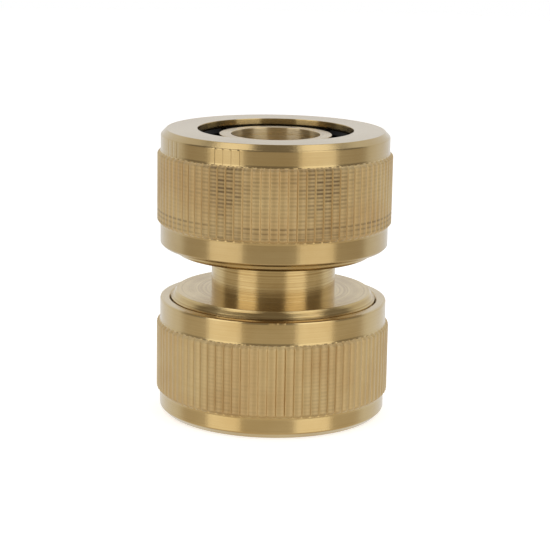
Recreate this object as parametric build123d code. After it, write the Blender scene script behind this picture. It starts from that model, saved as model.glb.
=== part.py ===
"""Hose mender: a brass coupling that joins two ends of a 19 mm (3/4 inch) garden hose.

A turned brass connector has a barbed tail at each end. A hose end is pushed over each
tail, and a knurled nut is screwed down over it. Inside each nut a split plastic collet
closes round the hose as the nut's cone draws over its fingers.

Units are millimetres. Z runs along the bore, upwards, and the origin is the middle of
the lower nut's outer face, on which the mender stands. Both ends are alike: each end
piece is drawn once in an end frame, with z = 0 on the nut's outer face and the rest of
the mender below it. The upper end is that piece lifted, the lower end is it turned over
about X, so that both ends keep their right-hand threads.
"""
from build123d import *
from math import cos, pi, sin
import os

# Whole mender
overall_length = 47.6       # outer face of one nut to outer face of the other

# Nut, outside
nut_height = 19.3
band_dia = 37.9             # plain turned bands at both ends of the knurl
knurl_dia = 39.0            # over the crests of the ribs
outer_band = 3.5            # outer face to the knurl, with the face chamfer
knurl_length = 12.1
face_chamfer = 0.9
rim_chamfer = 0.4           # at the inner end
rib_count = 84
rib_height = 0.42           # crest to valley
rib_top_share = 0.6         # flat crest's share of the rib spacing

# Nut, inside, each radius taken from the one outside it
nut_wall = 1.75             # band to thread
cone_seat = 1.8             # step from the thread in to the large end of the closing cone
cone_closing = 2.5          # radius that the cone loses up to the opening for the hose
cone_length = 7.2
opening_land = 0.95         # length of the plain wall behind the outer face
mouth_chamfer = 0.3         # leads the thread in at the inner end

# Connector's collar, with the thread drawn plain over its crests
thread_clearance = 0.1      # radial, to the plain wall of the nut's thread
thread_stand_out = 0.15     # thread's inner end past the nut's inner rim
ledge_run = 0.6             # two bevels lead from the thread to the face
ledge_rise = 0.75
face_run = 0.38
face_rise = 0.36
cup_wall = 2.9              # round the cup that takes the cut end of the hose
cup_floor_thickness = 2.8

# Connector's barbed tail, bore and neck
hose_room = 3.2             # opening to barbs, for the wall of the hose
tail_tip_depth = 0.8        # tip below the nut's outer face
tail_tip_relief = 0.4       # tip's radius below the barbs'
barb_height = 0.6
barb_count = 2
barb_pitch = 2.4
tail_wall = 1.75            # bore to the roots of the barbs
neck_wall = 3.0             # bore to the outside of the neck

# Split collet
collet_clearance = 0.15     # radial, to the nut's cone and seat
collet_tip_gap = 0.35       # finger tips to the floor of the nut's opening
collet_reach = 0.3          # collet's bore inside the nut's opening
collet_rim_gap = 0.3        # base ring to the cup's rim
base_ring_length = 2.6
finger_count = 8
finger_slot = 1.1
tooth_height = 0.4
tooth_pitch = 1.2

# Radii and depths that follow from the sizes above
band_r = band_dia / 2
knurl_r = knurl_dia / 2
nut_thread_r = band_r - nut_wall
cone_r = nut_thread_r - cone_seat
opening_r = cone_r - cone_closing
thread_r = nut_thread_r - thread_clearance
ledge_r = thread_r - ledge_run
face_r = ledge_r - face_run
cup_r = thread_r - cup_wall
barb_r = opening_r - hose_room
barb_root_r = barb_r - barb_height
tail_tip_r = barb_r - tail_tip_relief
bore_r = barb_root_r - tail_wall
neck_r = bore_r + neck_wall
collet_bore_r = opening_r - collet_reach
cone_end = opening_land + cone_length
thread_end = nut_height + thread_stand_out
ledge_end = thread_end + ledge_rise
face_depth = ledge_end + face_rise
cup_floor = face_depth - cup_floor_thickness
collet_tip = opening_land + collet_tip_gap
collet_end = cone_end + base_ring_length
cup_rim = collet_end + collet_rim_gap


def turned(outline):
    """Solid of revolution about Z from (radius, depth) points in the end frame."""
    points = [(radius, -depth) for radius, depth in outline]
    return revolve(Plane.XZ * make_face(Polyline(*points, close=True)), Axis.Z)


def cone_radius(depth):
    """Radius of the nut's closing cone at a depth below its outer face."""
    return opening_r + cone_closing * (depth - opening_land) / cone_length


def rib_corners(corners):
    """Points round the knurl: each rib's corners, as (share of the spacing, radius)."""
    step = 2 * pi / rib_count
    polar = [((i + share) * step, radius) for i in range(rib_count) for share, radius in corners]
    return [(radius * cos(angle), radius * sin(angle)) for angle, radius in polar]


def knurl():
    """Ring of straight flat-topped ribs, each bevelled at both ends down to the valleys."""
    valley_r = knurl_r - rib_height
    ribs = make_face(Polyline(
        *rib_corners([
            (-0.5, valley_r),
            (-rib_top_share / 2, knurl_r),
            (rib_top_share / 2, knurl_r),
        ]),
        close=True,
    ))
    half = knurl_length / 2
    middle_r = valley_r + half / cos(pi / rib_count)
    middle = make_face(Polyline(*rib_corners([(0.5, middle_r)]), close=True))
    half_taper = extrude(middle, half, taper=45)
    bevels = half_taper + mirror(half_taper, Plane.XY)
    bar = Pos(0, 0, -half) * extrude(ribs, knurl_length) & bevels
    ring = bar - Cylinder(nut_thread_r, knurl_length)
    return Pos(0, 0, -outer_band - half) * ring


def nut():
    """Knurled nut: two plain bands, a ring of straight ribs, cone, thread and mouth."""
    turned_nut = turned([
        (band_r - face_chamfer, 0),
        (band_r, face_chamfer),
        (band_r, nut_height - rim_chamfer),
        (band_r - rim_chamfer, nut_height),
        (nut_thread_r + mouth_chamfer, nut_height),
        (nut_thread_r, nut_height - mouth_chamfer),
        (nut_thread_r, cone_end),
        (cone_r, cone_end),
        (opening_r, opening_land),
        (opening_r, 0),
    ])
    return turned_nut + knurl()


def tail_outline():
    """Outside of one barbed tail, from the tip down to the floor of the cup."""
    outline = [(tail_tip_r, tail_tip_depth)]
    for i in range(barb_count):
        crest = tail_tip_depth + (i + 1) * barb_pitch
        outline += [(barb_r, crest), (barb_root_r, crest)]
    outline.append((barb_root_r, cup_floor))
    return outline


def connector_body():
    """One turned piece: bore, neck, two collars with threaded cups, two barbed tails."""
    end = [(bore_r, tail_tip_depth)] + tail_outline() + [
        (cup_r, cup_floor),
        (cup_r, cup_rim),
        (thread_r, cup_rim),
        (thread_r, thread_end),
        (ledge_r, ledge_end),
        (face_r, face_depth),
        (neck_r, face_depth),
    ]
    other_end = [(radius, overall_length - depth) for radius, depth in reversed(end)]
    return turned(end + other_end)


def collet():
    """Split gripping ring: a base ring with tapered fingers, a tooth inside each tip."""
    ring = turned([
        (collet_bore_r, collet_end),
        (collet_bore_r, collet_tip + tooth_pitch),
        (collet_bore_r - tooth_height, collet_tip + tooth_pitch / 2),
        (collet_bore_r, collet_tip),
        (cone_radius(collet_tip) - collet_clearance, collet_tip),
        (cone_r - collet_clearance, cone_end),
        (cone_r - collet_clearance, collet_end),
    ])
    slot_length = cone_end - collet_tip
    slots = [
        Rot(0, 0, i * 360 / finger_count) * Pos(cone_r / 2, 0, -collet_tip - slot_length / 2)
        * Box(cone_r, finger_slot, slot_length)
        for i in range(finger_count)
    ]
    return ring - slots


upper_end = Pos(0, 0, overall_length)
lower_end = Rot(180, 0, 0)
end_nut = nut()
end_collet = collet()

pieces = {
    "connector_body": upper_end * connector_body(),
    "upper_collet": upper_end * end_collet,
    "upper_nut": upper_end * end_nut,
    "lower_collet": lower_end * end_collet,
    "lower_nut": lower_end * end_nut,
}

os.makedirs("parts", exist_ok=True)
for node, solid in pieces.items():
    export_step(solid, f"parts/{node}.step")
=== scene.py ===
"""Surfaces and finish of a brass hose mender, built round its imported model.

The connector and the two nuts are worked out again as fine turned surfaces, with helical
threads, rounded edges and the marks that the lathe and the knurling left. The two split
collets keep their packed form and get their plastic.

Lengths are metres, as in the frame. Each piece is worked out in an end frame: depth 0 is
the nut's outer face and depth grows towards the neck. The upper end is that piece lifted
to the top, and the lower end is it turned over about X, so both keep right-hand threads.
"""

from math import pi, radians

import bmesh
import bpy
import numpy as np
from bpy.props import FloatProperty, FloatVectorProperty, IntProperty, PointerProperty
from mathutils import Matrix, Vector


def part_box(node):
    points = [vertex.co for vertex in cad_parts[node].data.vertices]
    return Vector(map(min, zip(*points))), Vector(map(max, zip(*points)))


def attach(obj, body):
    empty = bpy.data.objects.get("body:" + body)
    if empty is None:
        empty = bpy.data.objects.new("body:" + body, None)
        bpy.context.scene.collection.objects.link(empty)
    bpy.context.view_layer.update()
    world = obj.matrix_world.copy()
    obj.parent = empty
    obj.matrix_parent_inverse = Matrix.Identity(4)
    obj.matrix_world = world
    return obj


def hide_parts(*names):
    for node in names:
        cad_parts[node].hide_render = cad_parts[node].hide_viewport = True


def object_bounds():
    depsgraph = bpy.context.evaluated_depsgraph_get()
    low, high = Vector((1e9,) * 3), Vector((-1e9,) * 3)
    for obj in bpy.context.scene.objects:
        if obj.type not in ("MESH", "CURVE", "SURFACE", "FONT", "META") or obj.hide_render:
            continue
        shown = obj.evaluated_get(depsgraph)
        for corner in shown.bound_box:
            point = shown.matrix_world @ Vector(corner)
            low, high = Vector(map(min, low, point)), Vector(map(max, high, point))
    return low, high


bl_info = {
    "name": "Hose Mender",
    "version": (1, 0, 0),
    "blender": (4, 5, 0),
    "location": "3D View > Sidebar > Mender",
    "description": "Turned brass connector, knurled nuts and split collets of a hose mender",
    "category": "Add Mesh",
}

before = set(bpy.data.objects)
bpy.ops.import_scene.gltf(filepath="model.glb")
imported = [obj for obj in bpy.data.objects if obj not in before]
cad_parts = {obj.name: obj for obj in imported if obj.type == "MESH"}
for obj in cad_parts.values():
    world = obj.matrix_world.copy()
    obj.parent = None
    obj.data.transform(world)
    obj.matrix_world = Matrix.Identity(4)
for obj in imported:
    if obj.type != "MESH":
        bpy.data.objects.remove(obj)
cad_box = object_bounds()
nut_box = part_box("upper_nut")
body_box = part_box("connector_body")

MM = 0.001

# How fine the meshes are
BODY_COLUMNS = 240          # columns round the connector
RIB_SHARES = (-0.5, -0.44, -0.34, -0.04, 0.0, 0.04, 0.34, 0.44)   # columns across one rib
COARSENING = 3              # nut's outside columns for each inside one
THREAD_ROWS = 8             # rows for each turn of a thread
RING_ROWS = 4               # rows for each tool ring across the ribs
CORNER_SUPPORT = 1.4        # extra points beside a rounding, in times its reach from the corner
WELD = 0.001 * MM
SHARP_ANGLE = radians(40)

# Depths from the nut's outer face, and radii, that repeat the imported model's
FACE_CHAMFER = 0.9 * MM
KNURL_START, KNURL_END = 3.5 * MM, 15.6 * MM
RIM_CHAMFER = 0.4 * MM
OPENING_LAND = 0.95 * MM
CONE_END, CONE_RADIUS = 8.15 * MM, 15.4 * MM
MOUTH_CHAMFER = 0.3 * MM
TAIL_TIP, TIP_RADIUS = 0.8 * MM, 9.3 * MM
BARB_COUNT, BARB_PITCH = 2, 2.4 * MM
BARB_RADIUS, BARB_ROOT = 9.7 * MM, 9.1 * MM
CUP_RIM, CUP_FLOOR, CUP_RADIUS = 11.05 * MM, 17.76 * MM, 14.2 * MM

# Collar's corners, within 0.15 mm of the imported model's
RUN_OUT_DEPTH = 19.36 * MM
STEP_DEPTH, STEP_RADIUS = 19.42 * MM, 16.95 * MM
LEDGE_END, LEDGE_RADIUS = 20.15 * MM, 16.55 * MM
FACE_DEPTH, FACE_RADIUS = 20.56 * MM, 16.2 * MM

# Lower nut's rim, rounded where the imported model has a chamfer
RIM_ROUNDING = 0.3 * MM

# Threads
THREAD_FLAT = 3 / 13        # share of the pitch that is flat at the crests, and again at the roots
RUN_OUT = 0.22 * MM         # plain stretch between the male thread's end and the collar's edge
LEAD_IN = 0.6 * MM          # the same between the female thread's end and the mouth's chamfer

# Knurl
RUN_UP, RUN_UP_HEIGHT = 0.22 * MM, 0.05 * MM    # from each band to the foot of the ribs
RUN_UP_GAP = 0.02 * MM      # along the axis, from the run-up to the first row of the ribs
RIB_BEVEL = 0.5 * MM        # length of the bevel at each end of a rib
RIB_LIP = 0.03 * MM         # steeper start of the bevel
RIB_TONGUE = 0.24 * MM      # how much later the bevel starts in the valleys
BEVEL_ROWS = np.array([0.0, 0.03, 0.12, 0.21, 0.3, 0.4, 0.5, 0.65, 0.85]) * MM  # from a rib's end
VALLEY_SHARES = 0.42, 0.65  # least and greatest depth of a valley, as shares of the rib height
CREST_LEAN = 0.03 * MM      # most that one side of a crest is lower than the other
CREST_POWER = 4.5           # high for a flat crest with rounded shoulders
TONGUE_POWER = 2.5

# Wear, tool marks and painted shade on the nuts, with angles in degrees from the front
BAND_SOIL = 0.2             # strength of the soil beside the knurl
RING_STRENGTHS = 64         # rings after which the random strengths repeat
RING_POWER = 0.6            # below 1, so that each ring is wider than the gap beside it
MARKED_SHARE = 0.4          # tool's reach from a rib's crest, as a share of the rib spacing
# At the front and on the patches the rings cut deeper; their stronger grime colour is painted shade
ALL_ROUND_WEAR, FRONT_WEAR_AND_SHADE, PATCH_WEAR_AND_SHADE = 0.15, 0.3, 0.95
WORN_AND_SHADED_FRONT = 0, 40                                          # angle and width
WORN_AND_SHADED_PATCHES = (-24, 10), (25, 11)                          # the same
WORN_DEPTH = 6 * MM, 4 * MM                                 # depth and width
DEEP_RINGS = (13.2 * MM, 1.0), (13.95 * MM, 0.8), (14.75 * MM, 0.7)     # depth and strength
DEEP_RING_WIDTH = 0.17 * MM
DEEP_RING_FRONT = 12, 25                                    # angle and width
SCRATCHES = (-5.5, 2.1, 0.05 * MM), (-14, 1.6, 0.02 * MM)   # middle and reach in ribs, and depth
SCRATCH_START = FACE_CHAMFER + 0.1 * MM
SCRATCH_SHARE = 0.02        # reach from a rib's crest, as a share of the rib spacing
BURRS = 1.46, -0.17, -2.4, -5.74
BURR_WIDTH, BURR_HEIGHT, BURR_REACH = 0.3, 0.12 * MM, 0.2 * MM
KNURL_BORDER = 0.15 * MM    # strip at each end of the ribs that has the bands' finish
OPENING_EDGE = 0.1 * MM     # rounded edge of the opening that has the outer face's finish
SURFACE_MARGIN = 0.02 * MM  # between one surface and the next, where finishes are told apart

# Finish
TARNISH_SIZE = 9 * MM       # clouds of tarnish on the brass
PIT_SPACING = 0.38 * MM     # pits in the brass
# The grime colour is also painted shade, strongest at the front of the nuts and on two patches
GRIME_AND_SHADE_SHARE = 0.9           # of the grime's colour, where the tool marks are strongest
GRAIN_SPACING = MM / 3      # grain of the moulded plastic

# Studio, with the camera that was fitted to the edges of the photo's circles
FLOOR_RADIUS = 0.9
SIDE_DISTANCE = 0.55
OVERHEAD_ACROSS, OVERHEAD_FORWARD, OVERHEAD_HEIGHT = 0.325, 0.135, 0.65
OVERHEAD_WIDTH, OVERHEAD_LENGTH = 0.35, 0.43
CAMERA_PLACE = 0.0, -0.2968, 0.0890
CAMERA_PITCH_DOWN, CAMERA_ROLL = radians(12.56), radians(0.973)
CAMERA_LENS, CAMERA_SHIFT = 118.49, 0.0031


def linear(hex_colour):
    """An sRGB colour, such as #C8A76A, as linear red, green, blue and 1."""
    srgb = np.array([int(hex_colour[i:i + 2], 16) for i in (1, 3, 5)]) / 255
    value = np.where(srgb <= 0.04045, srgb / 12.92, ((srgb + 0.055) / 1.055) ** 2.4)
    return (*value.tolist(), 1.0)


def length(name, description, default):
    """A property that holds one length."""
    return FloatProperty(name=name, description=description, default=default, min=0.0,
                         precision=5, unit="LENGTH")


def colour(name, description, hex_colour):
    """A property that holds one colour."""
    return FloatVectorProperty(name=name, description=description, subtype="COLOR", size=4,
                               min=0.0, max=1.0, default=linear(hex_colour))


class MenderSizes(bpy.types.PropertyGroup):
    """Sizes that both ends share."""

    overall_length: length("Overall length", "Outer face of one nut to outer face of the other",
                           cad_box[1].z - cad_box[0].z)
    nut_height: length("Nut height", "Outer face to inner rim", nut_box[1].z - nut_box[0].z)
    knurl_radius: length("Knurl radius", "Over the crests of the ribs", nut_box[1].x)
    band_radius: length("Band radius", "Plain bands at both ends of the knurl", 18.95 * MM)
    rib_count: IntProperty(name="Ribs", description="Ribs round each nut", default=84, min=12)
    rib_height: length("Rib height", "Crest to valley", 0.42 * MM)
    opening_radius: length("Opening radius", "The hose goes in here", 12.9 * MM)
    bore_radius: length("Bore radius", "Inside of the tails", 7.35 * MM)
    neck_radius: length("Neck radius", "Waist between the nuts", 10.35 * MM)
    thread_radius: length("Thread radius", "Over the crests of the male thread", body_box[1].x)
    thread_pitch: length("Thread pitch", "Travel of a nut for each turn", 1.5 * MM)
    thread_depth: length("Thread depth", "Crest to root", 0.8 * MM)
    thread_clearance: length("Thread clearance", "Between male and female thread", 0.1 * MM)
    edge_break: length("Edge break", "How far each turned edge is rounded", 0.07 * MM)


class MenderFinish(bpy.types.PropertyGroup):
    """Colours and tool marks."""

    brass: colour("Brass", "Fresh turned brass", "#D6BE88")
    brass_deep: colour("Deep brass", "Brass where it has begun to tarnish", "#C8AC72")
    # Painted light: paler than the turned brass, so the rough knurl and the bore render lighter
    matt_brass_painted_lighter: colour("Matt brass", "Brass that the knurl wheel or the boring tool roughened",
                       "#DEC895")
    matt_brass_deep_painted_lighter: colour("Deep matt brass", "The same where it has begun to tarnish", "#D2B580")
    # Painted shade: the darker colour of the connector's rings, for shade in its groove bottoms
    groove_shade_brass: colour("Groove brass", "The bottoms of the connector's turning grooves", "#B89C66")
    # Painted light: paler than the brass outside, so the inside of the bore renders light
    bore_brass_painted_pale: colour("Bore brass", "Pale brass inside the bore", "#EEDEC0")
    # Grime, and painted shade where the nuts' ribs mirror dark parts of the studio
    grime_and_painted_shade: colour("Grime", "Cutting oil and dust left in the tool marks", "#6E5836")
    plastic: colour("Plastic", "Collets", "#070608")
    upper_mark: length("Upper tool marks", "Depth of the rings across the upper nut's ribs",
                       0.05 * MM)
    lower_mark: length("Lower tool marks", "Depth of the rings across the lower nut's ribs",
                       0.012 * MM)
    mark_pitch: length("Tool mark pitch", "Spacing of the rings across the ribs", 0.61 * MM)


class StudioLight(bpy.types.PropertyGroup):
    """Level of the lamps and of the room that the metal mirrors."""

    key: FloatProperty(name="Key", description="Radiance of the softboxes above eye level",
                       default=1.25, min=0.0)
    fill: FloatProperty(name="Fill", description="Radiance of the softboxes below eye level",
                        default=0.61, min=0.0)
    paper: colour("Paper", "What the metal mirrors from the paper before it", "#D5CBBC")
    table: colour("Table", "What the metal mirrors from below eye level", "#B9B0A3")
    room: colour("Room", "What the metal mirrors from above eye level", "#88827C")
    sweep: colour("Sweep", "White paper behind the object, as the metal mirrors it", "#E4E4E4")


def rounded(corners, steps=3):
    """Open outline with rounded corners, as rows of (radius, depth).

    Each corner is (radius, depth, reach). A quadratic curve with the corner as its control
    point joins the points that lie the reach before and after it. One more point stands on
    each side, so that the straight stretch between two corners keeps its own normals.
    """
    point, reach = np.split(np.array(corners, float), [2], axis=1)
    sides = []
    for shift in (1, -1):
        along = np.roll(point, shift, 0) - point
        sides.append(along / np.linalg.norm(along, axis=1, keepdims=True))
    before, after = (point + reach * side for side in sides)
    t = np.linspace(0, 1, steps)[:, None, None]
    curve = (1 - t) ** 2 * before + 2 * t * (1 - t) * point + t ** 2 * after
    supports = [point + CORNER_SUPPORT * reach * side for side in sides]
    by_corner = np.concatenate([supports[0][None], curve, supports[1][None]]).swapaxes(0, 1)
    rows = by_corner.reshape(-1, 2)
    moves = np.linalg.norm(np.diff(rows, axis=0), axis=1)
    return rows[np.concatenate([[True], moves > WELD])]


def round_strip(radius, depth, angle):
    """Grid that closes round the axis: radius and depth by row and column, one angle a column."""
    radius, depth, angle = np.broadcast_arrays(radius, depth, angle)
    index = np.arange(radius.size).reshape(radius.shape)
    beside = np.roll(index, -1, 1)
    quads = np.stack([index[:-1], index[1:], beside[1:], beside[:-1]], -1).reshape(-1, 4)
    points = np.stack([radius * np.cos(angle), radius * np.sin(angle), -depth], -1)
    return points.reshape(-1, 3), quads


def turned_strip(outline, angle):
    """Surface of revolution of an outline of (radius, depth) rows."""
    return round_strip(outline[:, :1], outline[:, 1:], angle[None])


def circle(radius, depth, angle):
    """Points round the axis at the given radius, depth and angle."""
    x, y = radius * np.cos(angle), radius * np.sin(angle)
    return np.stack(np.broadcast_arrays(x, y, -depth), -1)


def thread_strip(sizes, columns, root_radius, start, end, fade_in, fade_out, end_radii):
    """Right-hand helical thread between two depths, closed by plain circles.

    Rows follow the helix: depth = start + pitch * (row - angle / full turn), held between
    start and end. The radius rises from the root by the thread's depth times a trapezoid
    wave of the row, and fades to the end circles' radii over the two fade lengths.
    """
    turns = (end - start) / sizes.thread_pitch + 1
    row = np.arange(np.ceil(turns * THREAD_ROWS) + 1)[:, None] / THREAD_ROWS
    share = np.arange(columns + 1)[None] / columns
    depth = np.clip(start + sizes.thread_pitch * (row - share), start, end)
    from_root = np.abs(row % 1 - 0.5) - THREAD_FLAT / 2
    wave = np.clip(from_root / (0.5 - THREAD_FLAT), 0, 1)
    threaded = root_radius + sizes.thread_depth * wave
    way_in = np.clip((depth - start) / fade_in, 0, 1)
    way_out = np.clip((end - depth) / fade_out, 0, 1)
    radius = end_radii[0] + (threaded - end_radii[0]) * way_in
    radius = end_radii[1] + (radius - end_radii[1]) * way_out
    points = circle(radius, depth, 2 * pi * share)
    index = np.arange(depth.size).reshape(depth.shape)
    quads = np.stack([index[:-1, :-1], index[1:, :-1], index[1:, 1:], index[:-1, 1:]], -1)
    return points.reshape(-1, 3), quads.reshape(-1, 4)


def flat_ring(fine, coarse, coarsening):
    """Triangles of a flat ring between a circle of many points and one of few.

    Each short edge of the fine circle makes a triangle with one coarse point: the first
    half of the edges between two coarse points with the first of them, the rest with the
    second, and one more triangle joins the two coarse points.
    """
    few = len(coarse)
    points = np.concatenate([fine, coarse])
    step = np.arange(few)[:, None] * coarsening + np.arange(coarsening + 1)[None]
    step %= few * coarsening
    first = np.arange(few)[:, None] + few * coarsening
    second = (np.arange(few)[:, None] + 1) % few + few * coarsening
    half = (coarsening + 1) // 2
    fans = [
        np.stack(np.broadcast_arrays(step[:, :half], step[:, 1:half + 1], first), -1),
        np.stack(np.broadcast_arrays(step[:, half:-1], step[:, half + 1:], second), -1),
        np.stack([step[:, half:half + 1], second, first], -1),
    ]
    return points, np.concatenate([fan.reshape(-1, 3) for fan in fans])


def solid_of(name, surfaces, placings, materials, slot_of):
    """One closed mesh object from surfaces in the end frame, once for each placing.

    The surfaces are welded along their shared circles and their normals turned outwards.
    slot_of gives each face's material from the faces' centres.
    """
    mesh = bmesh.new()
    for points, faces in surfaces:
        for placing in placings:
            part = bpy.data.meshes.new("part")
            part.from_pydata(points, [], faces)
            part.transform(placing)
            mesh.from_mesh(part)
            bpy.data.meshes.remove(part)
    bmesh.ops.remove_doubles(mesh, verts=mesh.verts, dist=WELD)
    bmesh.ops.dissolve_degenerate(mesh, edges=mesh.edges, dist=WELD / 10)
    bmesh.ops.recalc_face_normals(mesh, faces=mesh.faces)
    data = bpy.data.meshes.new(name)
    mesh.to_mesh(data)
    mesh.free()
    for material in materials:
        data.materials.append(material)
    data.shade_smooth()
    data.set_sharp_from_angle(angle=SHARP_ANGLE)
    centres = np.empty(len(data.polygons) * 3, np.float32)
    data.polygons.foreach_get("center", centres)
    data.polygons.foreach_set("material_index", slot_of(centres.reshape(-1, 3)))
    piece = bpy.data.objects.new(name, data)
    bpy.context.scene.collection.objects.link(piece)
    return piece


def placing_of(end, sizes):
    """Where an end frame stands: lifted to the top, or turned over about X at the bottom."""
    if end == "upper":
        return Matrix.Translation((0, 0, sizes.overall_length))
    return Matrix.Rotation(pi, 4, "X")


def in_end_frame(points, placing):
    """x, y and z of placed points in the end frame, each as one row."""
    turn = np.array(placing.to_3x3())
    return turn.T @ (points - np.array(placing.translation)).T


def even_angles(columns):
    """Angles of evenly spaced columns."""
    return np.arange(columns) * 2 * pi / columns


def rib_angles(rib_count):
    """Angles of the columns across all ribs, closer together at the valleys."""
    ribs = np.arange(rib_count)[:, None] + np.array(RIB_SHARES)[None]
    return (ribs * 2 * pi / rib_count).ravel()


def from_front(angle, front):
    """Angle from the front, between minus and plus half a turn."""
    return (angle - front + pi) % (2 * pi) - pi


def from_crest(angle, rib_count):
    """Distance from the nearest rib's crest, as a share of the rib spacing."""
    return np.abs((angle * rib_count / (2 * pi) + 0.5) % 1 - 0.5)


def bell(value, middle, width):
    """Bell curve: e to the power of minus the square of the way from the middle in widths."""
    return np.exp(-((value - middle) / width) ** 2)


def tool_marks_and_painted_shade(sizes, finish, depth, angle, deep_rings, front):
    """Strength, from 0 to 1, of the rings that the lathe left across the ribs.

    It is a power of a cosine wave of the depth, times a random strength for each ring on
    each rib, times a wear and shade. That is highest at the front and on the two patches,
    which are bell curves of the angle from the front, and fades away from the outer face by
    a bell curve of the depth. Each deep ring is a bell curve of the depth, strongest just
    right of the front. The valleys between the ribs are out of the tool's reach, and the
    bands are evenly soiled. The strength sets how deep the rings are cut and how strongly
    the grime colour comes in; the rise of that colour at the front and on the patches is
    painted shade, the dark reflections that the ribs show there.
    """
    ring = depth / finish.mark_pitch
    rib = np.rint(angle * sizes.rib_count / (2 * pi)).astype(int) % sizes.rib_count
    rng = np.random.default_rng(21)
    strengths = rng.uniform(0.5, 1.0, (RING_STRENGTHS, sizes.rib_count))
    strength = strengths[np.floor(ring).astype(int) % RING_STRENGTHS, rib]
    seen = np.degrees(from_front(angle, front))
    patches = np.max([bell(seen, *patch) for patch in WORN_AND_SHADED_PATCHES], axis=0)
    wear_and_shade = ALL_ROUND_WEAR + FRONT_WEAR_AND_SHADE * bell(seen, *WORN_AND_SHADED_FRONT) + PATCH_WEAR_AND_SHADE * patches
    wear_and_shade = wear_and_shade * (0.6 + 0.4 * bell(depth, *WORN_DEPTH))
    wave = (0.5 - 0.5 * np.cos(2 * pi * ring)) ** RING_POWER
    marks = np.minimum(wave * strength * wear_and_shade, 1)
    front_share = 0.7 + 0.3 * bell(seen, *DEEP_RING_FRONT)
    for place, share in deep_rings:
        deep = share * bell(depth, place, DEEP_RING_WIDTH) * front_share
        marks = np.maximum(marks, deep * (0.4 + 0.6 * strength))
    marks = np.where(from_crest(angle, sizes.rib_count) < MARKED_SHARE, marks, 0)
    return np.where((depth > KNURL_START) & (depth < KNURL_END), marks, BAND_SOIL)


def knurl_surface(sizes, rows, marks, mark_depth):
    """Radius of the ribbed ring by row and column.

    A rib falls from its crest by the valley's depth times a power of the share of its half
    width. The depth of each valley and the lean of each crest are random. Both ends of a
    rib are straight bevels from just above the band, which start later by a power of the
    share of the half width and so make a tongue of the rib. The tool marks are cut between
    the bevels.
    """
    share = np.array(RIB_SHARES * sizes.rib_count)
    rib = np.repeat(np.arange(sizes.rib_count), len(RIB_SHARES))
    rng = np.random.default_rng(8)
    valley = sizes.rib_height * rng.uniform(*VALLEY_SHARES, sizes.rib_count)
    lean = CREST_LEAN * rng.uniform(-1, 1, sizes.rib_count)
    beside = (valley[rib] + valley[rib - (share < 0)]) / 2
    fall = beside * np.abs(2 * share) ** CREST_POWER
    crest = sizes.knurl_radius - fall - lean[rib] * (share + 0.5 * (share > -0.5))
    way_in = np.minimum(rows - KNURL_START, KNURL_END - rows)[:, None]
    tongue = way_in - RIB_TONGUE * np.abs(2 * share[None]) ** TONGUE_POWER
    foot = sizes.band_radius + RUN_UP_HEIGHT
    heights = [foot, foot + RIB_LIP, sizes.knurl_radius]
    bevel = np.interp(tongue, [0, RIB_LIP, RIB_BEVEL], heights)
    return np.minimum(crest[None], bevel) - mark_depth * marks * (way_in > RIB_BEVEL)


def scratches(sizes, depth, angle):
    """Depth of the scratches that the knurling tool left along the upper nut's outer band.

    They are in line with rib crests: four deep ones and three fine ones.
    """
    on_crest = from_crest(angle, sizes.rib_count) < SCRATCH_SHARE
    seen = from_front(angle, -pi / 2) * sizes.rib_count / (2 * pi)
    cut = sum((np.abs(seen - middle) < reach) * deep for middle, reach, deep in SCRATCHES)
    on_band = (depth > SCRATCH_START) & (depth <= KNURL_START)
    return on_band * on_crest * cut


def burrs(sizes, depth, angle):
    """Height, below zero, of the specks that stand out on the front of the lower nut's rim.

    Each is a bell curve of the angle from the front.
    """
    seen = np.degrees(from_front(angle, pi / 2))
    specks = sum(bell(seen, place, BURR_WIDTH) for place in BURRS)
    return (depth > sizes.nut_height - BURR_REACH) * specks * -BURR_HEIGHT


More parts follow.
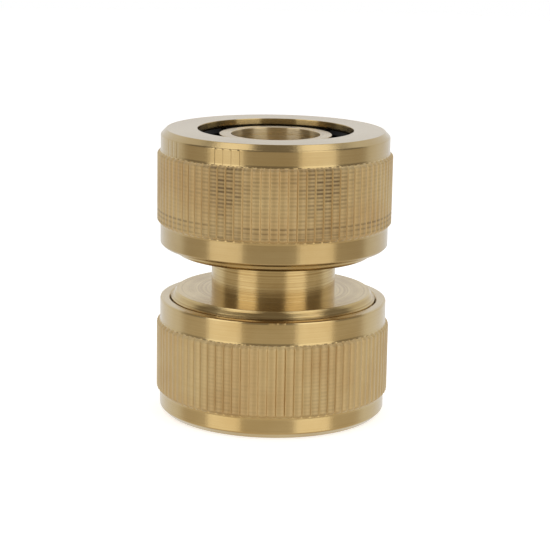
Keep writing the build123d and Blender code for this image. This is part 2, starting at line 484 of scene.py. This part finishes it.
def nut_surfaces(sizes, mark_pitch, mark_depth, marks, scores, rim_corners):
    """Outside, inside and two flat faces of one nut.

    The marks and the scores are functions of depth and angle. The rim's corners are those
    of its edge between the inner band and the flat inner face.
    """
    around = rib_angles(sizes.rib_count)
    inside = even_angles(len(around) // COARSENING)
    band, edge, height = sizes.band_radius, sizes.edge_break, sizes.nut_height
    opening = sizes.opening_radius
    wall = sizes.thread_radius + sizes.thread_clearance
    chamfer_start, mouth_end = band - FACE_CHAMFER, wall + MOUTH_CHAMFER
    face_outside, face_inside = chamfer_start - 0.2 * MM, opening + 0.25 * MM
    rim_outside, rim_inside = band - 0.5 * MM, mouth_end + 0.1 * MM

    upper_band = rounded([
        (face_outside, 0, 0), (chamfer_start, 0, edge), (band, FACE_CHAMFER, 2 * edge),
        (band, KNURL_START - RUN_UP, edge), (band + RUN_UP_HEIGHT, KNURL_START - RUN_UP_GAP, 0),
    ])
    lower_band = rounded([
        (band + RUN_UP_HEIGHT, KNURL_END + RUN_UP_GAP, 0), (band, KNURL_END + RUN_UP, edge),
        *rim_corners, (rim_outside, height, 0),
    ])
    first, last = KNURL_START + BEVEL_ROWS, KNURL_END - BEVEL_ROWS
    step = mark_pitch / RING_ROWS
    between = np.arange(first[-1] + step, last[-1] - step / 2, step)
    rows = np.concatenate([first, between, last[::-1]])
    radius = np.concatenate([
        np.broadcast_to(upper_band[:, :1], (len(upper_band), len(around))),
        knurl_surface(sizes, rows, marks(rows[:, None], around[None]), mark_depth),
        np.broadcast_to(lower_band[:, :1], (len(lower_band), len(around))),
    ])
    depth = np.concatenate([upper_band[:, 1], rows, lower_band[:, 1]])[:, None]
    radius = radius - scores(sizes, depth, around[None])

    thread_start = CUP_RIM - sizes.thread_pitch     # in step with the male thread
    thread_end = height - MOUTH_CHAMFER - LEAD_IN
    hollow = rounded([
        (face_inside, 0, 0), (opening, 0, 1.5 * edge), (opening, OPENING_LAND, edge),
        (CONE_RADIUS, CONE_END, edge), (wall, CONE_END, edge), (wall, thread_start, 0),
    ])
    thread = thread_strip(sizes, len(inside), wall - sizes.thread_depth, thread_start, thread_end,
                          fade_in=0.5 * MM, fade_out=0.7 * MM, end_radii=(wall, wall))
    mouth = rounded([
        (wall, thread_end, 0), (wall, height - MOUTH_CHAMFER, edge),
        (mouth_end, height, edge / 2), (rim_inside, height, 0),
    ])
    return [
        round_strip(radius, depth, around[None]),
        turned_strip(hollow, inside),
        thread,
        turned_strip(mouth, inside),
        flat_ring(circle(face_outside, 0, around), circle(face_inside, 0, inside), COARSENING),
        flat_ring(circle(rim_outside, height, around), circle(rim_inside, height, inside),
                  COARSENING),
    ]


def connector_surfaces(sizes):
    """Bore, barbed tail, cup, threaded collar and half the neck of one end."""
    around = even_angles(BODY_COLUMNS)
    edge = sizes.edge_break
    bore, neck, thread = sizes.bore_radius, sizes.neck_radius, sizes.thread_radius
    root = thread - sizes.thread_depth
    middle = sizes.overall_length / 2
    barb_depths = [TAIL_TIP + (barb + 1) * BARB_PITCH for barb in range(BARB_COUNT)]
    barbs = [(radius, depth, edge / 2) for depth in barb_depths for radius in (BARB_RADIUS, BARB_ROOT)]
    inner = rounded([
        (bore, middle, 0), (bore, TAIL_TIP, 1.5 * edge), (TIP_RADIUS, TAIL_TIP, edge),
        *barbs,
        (BARB_ROOT, CUP_FLOOR, 2 * edge), (CUP_RADIUS, CUP_FLOOR, 2 * edge),
        (CUP_RADIUS, CUP_RIM, edge), (root, CUP_RIM, 0),
    ])
    thread_end = RUN_OUT_DEPTH - RUN_OUT
    male = thread_strip(sizes, BODY_COLUMNS, root, CUP_RIM, thread_end,
                        fade_in=0.8 * MM, fade_out=0.5 * MM, end_radii=(root, thread))
    collar = rounded([
        (thread, thread_end, 0), (thread, RUN_OUT_DEPTH, edge / 2),
        (STEP_RADIUS, STEP_DEPTH, edge / 3),
        (LEDGE_RADIUS, LEDGE_END, edge / 2), (FACE_RADIUS, FACE_DEPTH, edge / 2),
        (neck, FACE_DEPTH, edge / 2), (neck, middle, 0),
    ])
    return [turned_strip(inner, around), male, turned_strip(collar, around)]


def add(tree, kind, settings=None, inputs=None):
    """Adds a node with its settings, and its inputs as values or links from other sockets."""
    node = tree.nodes.new(kind)
    for name, value in (settings or {}).items():
        setattr(node, name, value)
    for name, value in (inputs or {}).items():
        if isinstance(value, bpy.types.NodeSocket):
            tree.links.new(value, node.inputs[name])
        else:
            node.inputs[name].default_value = value
    return node


def new_material(name):
    """An empty node material and its tree."""
    material = bpy.data.materials.new(name)
    material.use_nodes = True
    material.node_tree.nodes.clear()
    return material, material.node_tree


def cut_brass(name, lighter_colour, darker_colour, roughness, anisotropy, coat, ring_spacing, ring_height,
              ring_tint_and_shade, pit_height, grime_and_painted_shade=None):
    """Bare brass bar, cut on a lathe, with a thin clear lacquer.

    The tool leaves fine rings round the axis, so the metal mirrors the studio sharply along
    them and draws every light out across them. Rings are a noise of radius and height
    alone, and they also move the colour between a lighter and a darker one; on the
    connector the darker one is painted shade in the bottoms of the turning grooves, and in
    the bore both are paler than outside as painted light. A slow cloud of tarnish shifts
    the colour, and small pits break the surface. The lacquer pales the brass where it is
    seen at a glancing angle. Where a colour for grime and painted shade is given, the
    mesh's tool_marks_and_painted_shade attribute brings it in. The real rings are about
    0.1 mm apart, too fine to show, and are drawn two to four times as coarse.
    """
    material, tree = new_material(name)
    place = add(tree, "ShaderNodeTexCoord").outputs["Object"]
    axes = add(tree, "ShaderNodeSeparateXYZ", inputs={0: place})
    flat = add(tree, "ShaderNodeCombineXYZ", inputs={0: axes.outputs[0], 1: axes.outputs[1]})
    radius = add(tree, "ShaderNodeVectorMath", {"operation": "LENGTH"}, {0: flat.outputs[0]})
    profile = add(tree, "ShaderNodeCombineXYZ", inputs={
        0: radius.outputs["Value"], 1: axes.outputs[2]})
    rings = add(tree, "ShaderNodeTexNoise", inputs={
        "Vector": profile.outputs[0], "Scale": 1 / ring_spacing, "Detail": 4.0, "Roughness": 0.65})
    cloud = add(tree, "ShaderNodeTexNoise", inputs={
        "Vector": place, "Scale": 1 / TARNISH_SIZE, "Detail": 3.0})
    shade = add(tree, "ShaderNodeMath", {"operation": "MULTIPLY_ADD"}, {
        0: rings.outputs["Fac"], 1: ring_tint_and_shade, 2: cloud.outputs["Fac"]})
    middle = 0.5 + 0.5 * ring_tint_and_shade
    tone = add(tree, "ShaderNodeMapRange", inputs={
        0: shade.outputs[0], "From Min": middle - 0.2, "From Max": middle + 0.2})
    base = add(tree, "ShaderNodeMix", {"data_type": "RGBA"}, {
        0: tone.outputs[0], 6: darker_colour, 7: lighter_colour})
    if grime_and_painted_shade is not None:
        marks = add(tree, "ShaderNodeAttribute", {"attribute_name": "tool_marks_and_painted_shade"})
        share = add(tree, "ShaderNodeMath", {"operation": "MULTIPLY"}, {
            0: marks.outputs["Fac"], 1: GRIME_AND_SHADE_SHARE})
        base = add(tree, "ShaderNodeMix", {"data_type": "RGBA"}, {
            0: share.outputs[0], 6: base.outputs[2], 7: grime_and_painted_shade})
    gloss = add(tree, "ShaderNodeMapRange", inputs={
        0: rings.outputs["Fac"], "From Min": 0.3, "From Max": 0.7,
        "To Min": roughness * 0.85, "To Max": roughness * 1.2})
    pits = add(tree, "ShaderNodeTexNoise", inputs={
        "Vector": place, "Scale": 1 / PIT_SPACING, "Detail": 2.0})
    ring_bump = add(tree, "ShaderNodeBump", inputs={
        "Strength": 1.0, "Distance": ring_height, "Height": rings.outputs["Fac"]})
    bump = add(tree, "ShaderNodeBump", inputs={
        "Strength": 1.0, "Distance": pit_height, "Height": pits.outputs["Fac"],
        "Normal": ring_bump.outputs[0]})
    tangent = add(tree, "ShaderNodeTangent", {"direction_type": "RADIAL", "axis": "Z"})
    shader = add(tree, "ShaderNodeBsdfPrincipled", inputs={
        "Base Color": base.outputs[2], "Metallic": 1.0, "Roughness": gloss.outputs[0],
        "Anisotropic": anisotropy, "Anisotropic Rotation": 0.25, "Tangent": tangent.outputs[0],
        "Coat Weight": coat, "Coat Roughness": 0.22, "Normal": bump.outputs[0]})
    add(tree, "ShaderNodeOutputMaterial", inputs={"Surface": shader.outputs[0]})
    return material


def moulded_acetal(black):
    """Black acetal, injection moulded: near black with an even grain and a soft sheen.

    The real grain is too fine to show and is drawn coarser.
    """
    material, tree = new_material("moulded_black_acetal")
    place = add(tree, "ShaderNodeTexCoord").outputs["Object"]
    grain = add(tree, "ShaderNodeTexNoise", inputs={
        "Vector": place, "Scale": 1 / GRAIN_SPACING, "Detail": 2.0})
    bump = add(tree, "ShaderNodeBump", inputs={
        "Strength": 1.0, "Distance": 0.01 * MM, "Height": grain.outputs["Fac"]})
    gloss = add(tree, "ShaderNodeMapRange", inputs={
        0: grain.outputs["Fac"], "To Min": 0.42, "To Max": 0.55})
    shader = add(tree, "ShaderNodeBsdfPrincipled", inputs={
        "Base Color": black, "Roughness": gloss.outputs[0], "IOR": 1.48,
        "Specular IOR Level": 0.12, "Normal": bump.outputs[0]})
    add(tree, "ShaderNodeOutputMaterial", inputs={"Surface": shader.outputs[0]})
    return material


def white_sweep():
    """Matt white paper: white to the camera, with the object's soft shadow on it."""
    material, tree = new_material("matt_white_paper")
    path = add(tree, "ShaderNodeLightPath")
    paper = add(tree, "ShaderNodeBsdfDiffuse", inputs={"Color": linear("#F2F2F0")})
    glow = add(tree, "ShaderNodeEmission", inputs={"Color": linear("#FFFFFF"), "Strength": 0.62})
    lit = add(tree, "ShaderNodeAddShader", inputs={0: paper.outputs[0], 1: glow.outputs[0]})
    seen = add(tree, "ShaderNodeMixShader", inputs={
        0: path.outputs["Is Camera Ray"], 1: paper.outputs[0], 2: lit.outputs[0]})
    add(tree, "ShaderNodeOutputMaterial", inputs={"Surface": seen.outputs[0]})
    return material


def paper_floor():
    """Round sheet of white paper on which the mender stands."""
    points = circle(FLOOR_RADIUS, 0.0, even_angles(96))
    sheet = bpy.data.meshes.new("paper_floor")
    sheet.from_pydata(points, [], [list(range(len(points)))])
    sheet.materials.append(white_sweep())
    floor = bpy.data.objects.new("paper_floor", sheet)
    floor.visible_glossy = False
    floor.visible_shadow = False
    return floor


def softbox(name, place, facing, width, height, radiance):
    """A rectangular lamp that the camera doesn't see, at a place and facing a direction."""
    lamp = bpy.data.lights.new(name, "AREA")
    lamp.shape = "RECTANGLE"
    lamp.size, lamp.size_y = width, height
    lamp.energy = radiance * pi * width * height
    holder = bpy.data.objects.new(name, lamp)
    turn = facing.to_track_quat("-Z", "Y").to_matrix().to_4x4()
    holder.matrix_world = Matrix.Translation(place) @ turn
    holder.visible_camera = False
    return holder


def side_softboxes(light):
    """Two upright softboxes left and right of the camera, each in a dim and a bright part.

    Each part has its azimuth in degrees, its lowest and highest point and its width.
    """
    lamps = []
    for name, azimuth, low, high, width, level in (
        ("left_fill", -49, -0.30, 0.03, 0.36, light.fill),
        ("right_fill", 43, -0.30, 0.03, 0.38, light.fill),
        ("left_key", -49, 0.03, 0.36, 0.36, light.key),
        ("right_key", 43, 0.03, 0.50, 0.38, light.key),
    ):
        side = radians(azimuth)
        outwards = Vector((np.sin(side), -np.cos(side), 0))
        place = SIDE_DISTANCE * outwards + Vector((0, 0, (low + high) / 2))
        lamps.append(softbox(name, place, -outwards, width, high - low, level))
    return lamps


def overhead_softboxes(light):
    """Two softboxes that face straight down, left and right of the mender."""
    lamps = []
    for name, side in (("left_overhead", -1), ("right_overhead", 1)):
        place = Vector((side * OVERHEAD_ACROSS, -OVERHEAD_FORWARD, OVERHEAD_HEIGHT))
        lamps.append(softbox(name, place, Vector((0, 0, -1)), OVERHEAD_WIDTH, OVERHEAD_LENGTH,
                             light.key))
    return lamps


def white_room(light):
    """World that is white to the camera, with a grey room, table and paper for the metal.

    What the metal mirrors depends on the direction: the white sweep behind the object, and
    before it the room above eye level, the table below it and the paper further down. Each
    border is a smooth step of how high or how far back the direction points.
    """
    world = bpy.data.worlds.new("white_room")
    world.use_nodes = True
    tree = world.node_tree
    tree.nodes.clear()
    path = add(tree, "ShaderNodeLightPath")
    way = add(tree, "ShaderNodeTexCoord").outputs["Generated"]
    axes = add(tree, "ShaderNodeSeparateXYZ", inputs={0: way})
    off_paper = add(tree, "ShaderNodeMapRange", {"interpolation_type": "SMOOTHSTEP"}, {
        0: axes.outputs[2], "From Min": -0.31, "From Max": -0.26})
    above = add(tree, "ShaderNodeMapRange", {"interpolation_type": "SMOOTHSTEP"}, {
        0: axes.outputs[2], "From Min": -0.08, "From Max": 0.06})
    behind = add(tree, "ShaderNodeMapRange", {"interpolation_type": "SMOOTHSTEP"}, {
        0: axes.outputs[1], "From Min": 0.1, "From Max": 0.35})
    below = add(tree, "ShaderNodeMix", {"data_type": "RGBA"}, {
        0: off_paper.outputs[0], 6: light.paper, 7: light.table})
    room = add(tree, "ShaderNodeMix", {"data_type": "RGBA"}, {
        0: above.outputs[0], 6: below.outputs[2], 7: light.room})
    mirrored = add(tree, "ShaderNodeMix", {"data_type": "RGBA"}, {
        0: behind.outputs[0], 6: room.outputs[2], 7: light.sweep})
    seen = add(tree, "ShaderNodeMix", {"data_type": "RGBA"}, {
        0: path.outputs["Is Camera Ray"], 6: mirrored.outputs[2], 7: linear("#FFFFFF")})
    glow = add(tree, "ShaderNodeBackground", inputs={"Color": seen.outputs[2]})
    add(tree, "ShaderNodeOutputWorld", inputs={"Surface": glow.outputs[0]})
    return world


def photo_camera():
    """Camera at the photo's place, turned down and rolled as it was."""
    lens = bpy.data.cameras.new("photo_camera")
    lens.sensor_width = 36.0
    lens.lens = CAMERA_LENS
    lens.shift_x = CAMERA_SHIFT
    lens.clip_start, lens.clip_end = 0.01, 20.0
    camera = bpy.data.objects.new("photo_camera", lens)
    camera.location = CAMERA_PLACE
    camera.rotation_euler = (Matrix.Rotation(pi / 2 - CAMERA_PITCH_DOWN, 3, "X")
                             @ Matrix.Rotation(CAMERA_ROLL, 3, "Z")).to_euler()
    return camera


class MENDER_OT_connector(bpy.types.Operator):
    """Makes the turned connector with its tails, cups, threads and neck"""

    bl_idname = "mender.connector"
    bl_label = "Connector"

    def execute(self, context):
        sizes, finish = context.scene.mender_sizes, context.scene.mender_finish
        # Coarse feed: strong rings, with painted shade in the bottoms of their grooves
        turned = cut_brass(
            "lathe_turned_brass", finish.brass, finish.groove_shade_brass,
            roughness=0.18, anisotropy=0.5, coat=0.3,
            ring_spacing=0.35 * MM, ring_height=0.03 * MM, ring_tint_and_shade=1.4, pit_height=0.001 * MM)
        # Boring bar: reflections drawn out along the bore, on pale brass that is painted light
        bored = cut_brass(
            "bored_brass", finish.bore_brass_painted_pale, finish.matt_brass_painted_lighter,
            roughness=0.28, anisotropy=1.0, coat=0.8,
            ring_spacing=0.3 * MM, ring_height=0.02 * MM, ring_tint_and_shade=0.5, pit_height=0.002 * MM)

        def in_bore(centres):
            """0 on the outside and 1 in the bore."""
            radius = np.hypot(centres[:, 0], centres[:, 1])
            return (radius < sizes.bore_radius + sizes.edge_break / 2).astype(np.int32)

        piece = solid_of("turned_connector", connector_surfaces(sizes),
                         [placing_of(end, sizes) for end in ("upper", "lower")], [turned, bored],
                         in_bore)
        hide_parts("connector_body")
        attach(piece, "connector_body")
        return {"FINISHED"}


class MENDER_OT_nuts(bpy.types.Operator):
    """Makes the two knurled nuts with their bands, cones and threads"""

    bl_idname = "mender.nuts"
    bl_label = "Knurled nuts"

    def execute(self, context):
        sizes, finish = context.scene.mender_sizes, context.scene.mender_finish
        # Fine feed: nearly a mirror round the axis, with broad light and dark sectors
        band = cut_brass(
            "fine_turned_brass", finish.brass, finish.brass_deep,
            roughness=0.2, anisotropy=0.5, coat=0.7, ring_spacing=0.19 * MM,
            ring_height=0.005 * MM, ring_tint_and_shade=0.5, pit_height=0.0015 * MM, grime_and_painted_shade=finish.grime_and_painted_shade)
        # Rolled by the knurl wheel: matt, so the ribs are about as light all round; the paler brass is
        # painted light
        knurl = cut_brass(
            "knurled_brass", finish.matt_brass_painted_lighter, finish.matt_brass_deep_painted_lighter,
            roughness=0.6, anisotropy=0.0, coat=0.5, ring_spacing=0.4 * MM,
            ring_height=0.012 * MM, ring_tint_and_shade=0.5, pit_height=0.025 * MM, grime_and_painted_shade=finish.grime_and_painted_shade)
        # Bored with a finer feed than the connector: smooth, with long soft reflections
        opening = cut_brass(
            "bored_opening_brass", finish.brass, finish.brass_deep,
            roughness=0.22, anisotropy=1.0, coat=0.4,
            ring_spacing=0.3 * MM, ring_height=0.006 * MM, ring_tint_and_shade=0.5, pit_height=0.002 * MM)
        rim, height, edge = sizes.band_radius, sizes.nut_height, sizes.edge_break
        chamfer = ((rim, height - RIM_CHAMFER, edge), (rim - RIM_CHAMFER, height, edge / 2))
        rounding = ((rim, height, RIM_ROUNDING),)
        for end, front, mark_depth, deep_rings, scores, rim_corners in (
            ("upper", -pi / 2, finish.upper_mark, DEEP_RINGS, scratches, chamfer),
            ("lower", pi / 2, finish.lower_mark, (), burrs, rounding),
        ):
            placing = placing_of(end, sizes)

            def marks(depth, angle, deep_rings=deep_rings, front=front):
                """Strength of the tool marks on this nut."""
                # This strength also brings in the grime colour, which is painted shade at the front
                # and on the patches
                return tool_marks_and_painted_shade(sizes, finish, depth, angle, deep_rings, front)

            def surface_of(centres, placing=placing):
                """0 on turned walls, 1 on the knurl and 2 inside the opening."""
                x, y, z = in_end_frame(centres, placing)
                radius, depth = np.hypot(x, y), -z
                ribbed = (depth > KNURL_START + KNURL_BORDER) & (depth < KNURL_END - KNURL_BORDER)
                ribbed &= radius > sizes.band_radius + SURFACE_MARGIN
                bored = (radius < sizes.opening_radius + SURFACE_MARGIN) & (depth > OPENING_EDGE)
                return (ribbed + 2 * bored).astype(np.int32)

            surfaces = nut_surfaces(sizes, finish.mark_pitch, mark_depth, marks, scores, rim_corners)
            piece = solid_of(f"{end}_knurled_nut", surfaces, [placing], [band, knurl, opening],
                             surface_of)
            # The marks' strength as an attribute for the grime colour: grime, and painted shade at the
            # front
            place = np.empty(len(piece.data.vertices) * 3)
            piece.data.vertices.foreach_get("co", place)
            x, y, z = in_end_frame(place.reshape(-1, 3), placing)
            soil_and_shade = piece.data.attributes.new("tool_marks_and_painted_shade", "FLOAT", "POINT")
            share = mark_depth / finish.upper_mark
            soil_and_shade.data.foreach_set("value", share * marks(-z, np.arctan2(y, x)))
            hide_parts(f"{end}_nut")
            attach(piece, f"{end}_nut")
        return {"FINISHED"}


class MENDER_OT_collets(bpy.types.Operator):
    """Gives the two split collets their plastic"""

    bl_idname = "mender.collets"
    bl_label = "Split collets"

    def execute(self, context):
        plastic = moulded_acetal(context.scene.mender_finish.plastic)
        for end in ("upper", "lower"):
            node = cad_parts[f"{end}_collet"]
            node.data.materials.clear()
            node.data.materials.append(plastic)
        return {"FINISHED"}


class MENDER_OT_studio(bpy.types.Operator):
    """Makes the floor, the lamps, the room and the camera"""

    bl_idname = "mender.studio"
    bl_label = "Studio"

    def execute(self, context):
        scene, light = context.scene, context.scene.mender_light
        floor = paper_floor()
        camera = photo_camera()
        for item in (floor, *side_softboxes(light), *overhead_softboxes(light), camera):
            scene.collection.objects.link(item)
        scene.world = white_room(light)
        scene.camera = camera
        scene.view_settings.view_transform = "Standard"
        return {"FINISHED"}


class MENDER_PT_panel(bpy.types.Panel):
    """Sizes, finish and the steps that make the mender"""

    bl_idname = "MENDER_PT_panel"
    bl_label = "Hose Mender"
    bl_space_type = "VIEW_3D"
    bl_region_type = "UI"
    bl_category = "Mender"

    def draw(self, context):
        for group in ("mender_sizes", "mender_finish", "mender_light"):
            settings = getattr(context.scene, group)
            box = self.layout.box()
            for name in type(settings).__annotations__:
                box.prop(settings, name)
        for operator in OPERATORS:
            self.layout.operator(operator.bl_idname)


OPERATORS = (MENDER_OT_connector, MENDER_OT_nuts, MENDER_OT_collets, MENDER_OT_studio)
CLASSES = (MenderSizes, MenderFinish, StudioLight, *OPERATORS, MENDER_PT_panel)


def register():
    """Registers the classes and gives the scene its three groups of values."""
    for cls in CLASSES:
        bpy.utils.register_class(cls)
    bpy.types.Scene.mender_sizes = PointerProperty(type=MenderSizes)
    bpy.types.Scene.mender_finish = PointerProperty(type=MenderFinish)
    bpy.types.Scene.mender_light = PointerProperty(type=StudioLight)


def unregister():
    """Undoes what register did, in reverse order."""
    del bpy.types.Scene.mender_light
    del bpy.types.Scene.mender_finish
    del bpy.types.Scene.mender_sizes
    for cls in reversed(CLASSES):
        bpy.utils.unregister_class(cls)


def main():
    """Makes the mender and its studio."""
    register()
    bpy.ops.mender.connector()
    bpy.ops.mender.nuts()
    bpy.ops.mender.collets()
    bpy.ops.mender.studio()


if __name__ == "__main__":
    main()
